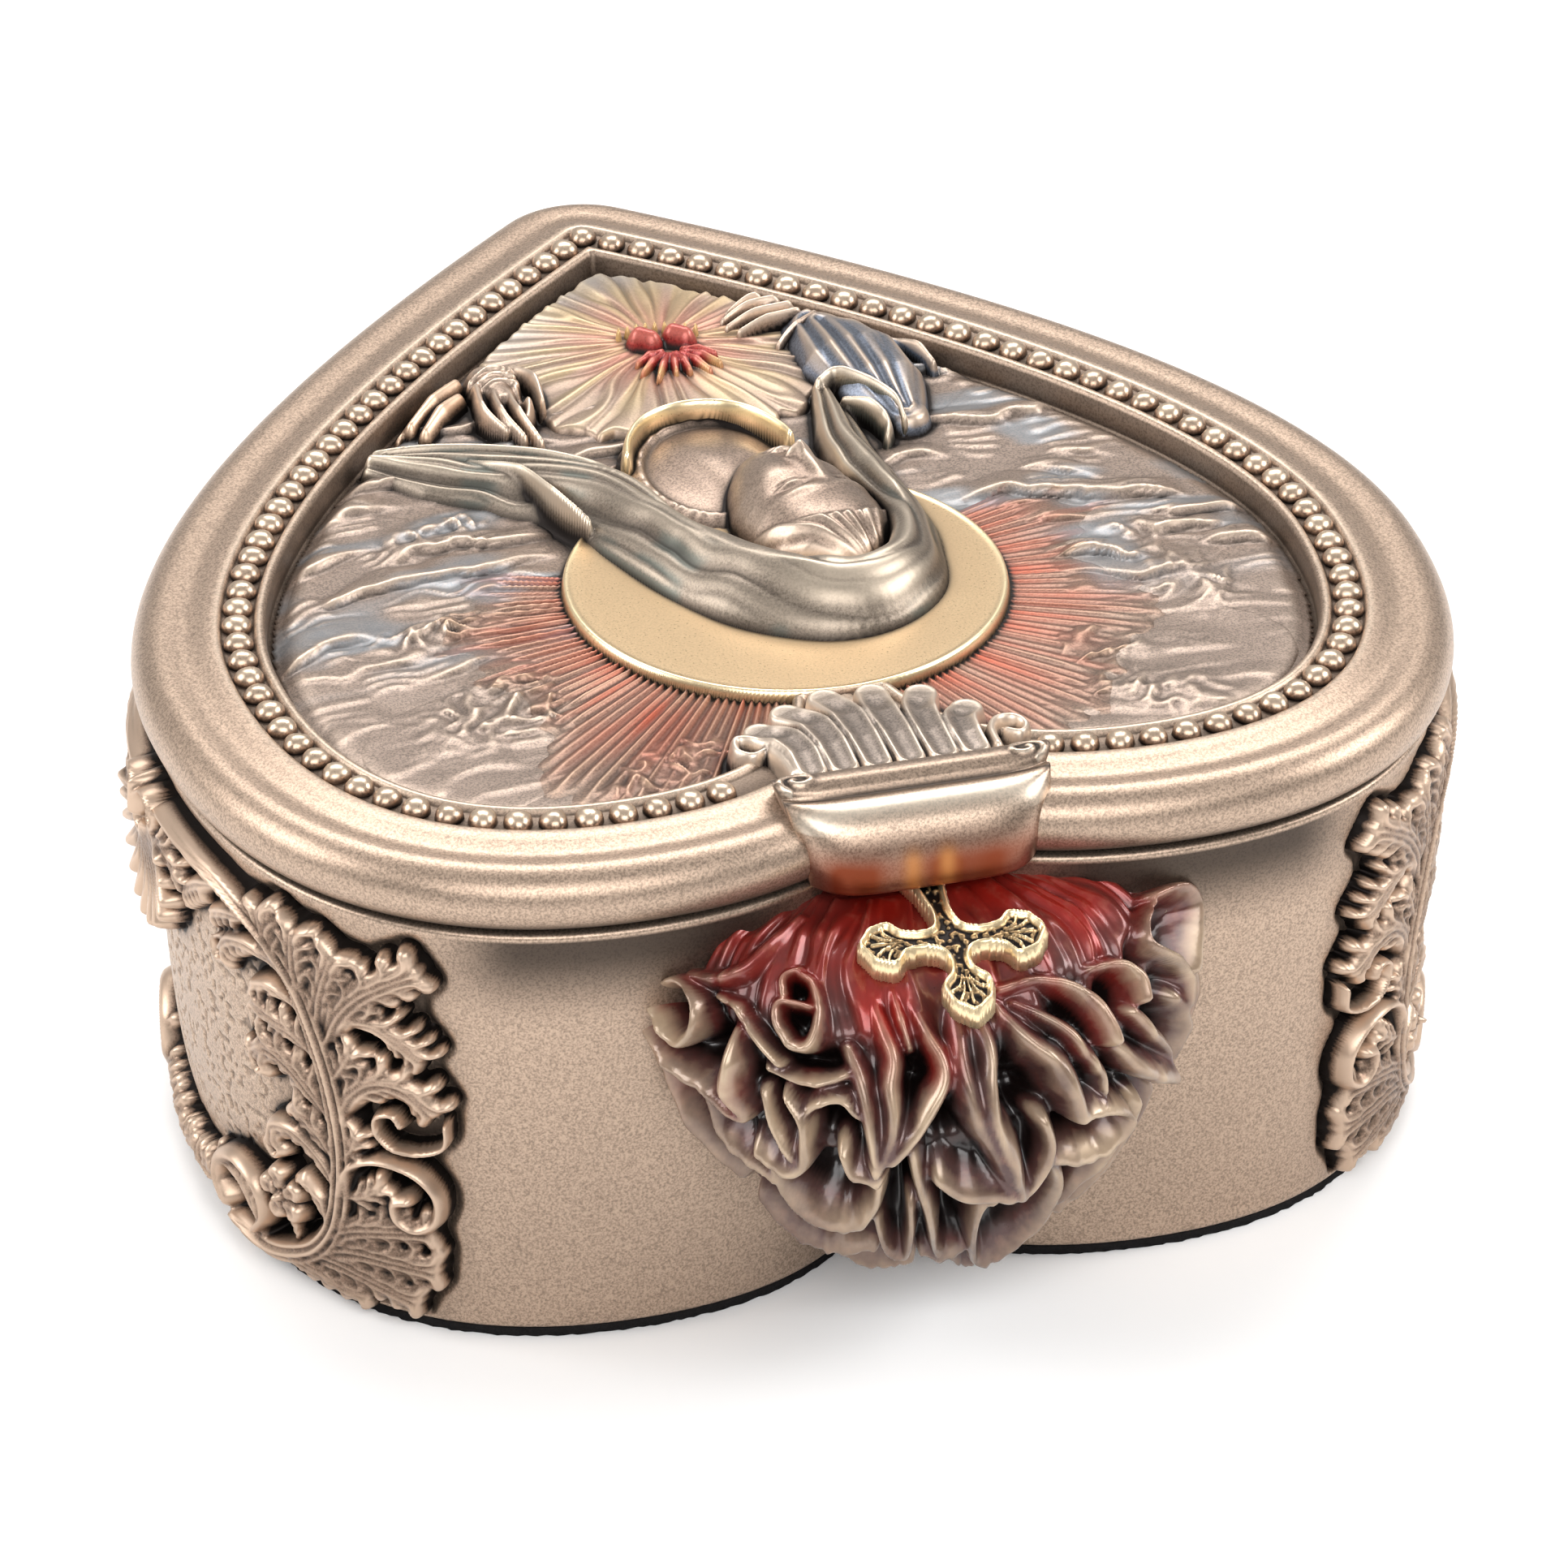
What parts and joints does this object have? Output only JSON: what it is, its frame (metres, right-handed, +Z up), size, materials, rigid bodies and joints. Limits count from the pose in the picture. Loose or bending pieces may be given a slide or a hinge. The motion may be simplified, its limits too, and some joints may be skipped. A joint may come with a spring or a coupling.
{
  "type": "heart trinket box",
  "caption": "Heart-shaped keepsake box with a lift-off beaded lid in relief, scrollwork sides, flames in the cleft and a felt foot.",
  "frame": {"origin": "on the rest plane, under the middle of the lid's heart outline", "axes": "+Z up out of the lid, -Y toward the cleft with the flames, +Y toward the point of the heart, +X to the right seen from the cleft"},
  "size_m": [0.1168, 0.1346, 0.0551],
  "materials": {
    "bronze": "bronze-filled cold-cast resin, satin burnished",
    "dark_bronze": "bronze-filled cold-cast resin with a dark antique wash",
    "gold": "burnished metallic gold paint on resin",
    "patina": "bronze-filled resin rubbed with a grey-green patina",
    "skin": "bronze-filled resin, burnished",
    "sky": "bronze-filled resin with a thin pale blue wash",
    "red_rays": "bronze-filled resin with a thin orange-red wash",
    "glory": "bronze-filled resin with a thin yellow and orange wash",
    "blue": "bronze-filled resin with a thin blue wash",
    "red_enamel": "glossy red enamel paint on resin",
    "maroon_enamel": "glossy maroon enamel with edges rubbed to bronze",
    "felt": "black felt"
  },
  "bodies": {
    "base": {"felt_foot_pad": "felt", "base_shell": "bronze", "side_field_left": "bronze", "side_field_right": "bronze", "palmette_left": "dark_bronze", "palmette_right": "dark_bronze", "acanthus_front_left": "dark_bronze", "acanthus_rear_left": "dark_bronze", "acanthus_front_right": "dark_bronze", "acanthus_rear_right": "dark_bronze", "rosette_front_left": "dark_bronze", "rosette_rear_left": "dark_bronze", "rosette_front_right": "dark_bronze", "rosette_rear_right": "dark_bronze", "flames": "maroon_enamel", "flame_cross": "gold"},
    "lid": {"lid_shell": "bronze", "bead_border": "bronze", "sky_panel": "sky", "halo_disc": "gold", "veil": "patina", "head": "skin", "collar_trim": "gold", "bust": "skin", "flaming_heart": "red_enamel", "left_hand": "skin", "left_cuff": "dark_bronze", "right_hand": "skin", "blue_sleeve": "blue", "glory_rays": "glory", "halo_rays": "red_rays", "clouds_upper_left": "sky", "clouds_lower_left": "sky", "clouds_upper_right": "sky", "clouds_lower_right": "sky", "crest_flutes": "bronze", "banner_scroll": "bronze"}
  },
  "joints": [
    {"name": "lid_lift", "type": "slide", "parent": "base", "child": "lid", "axis": [0, 0, 1], "range_m": [0, 0.06]}
  ]
}
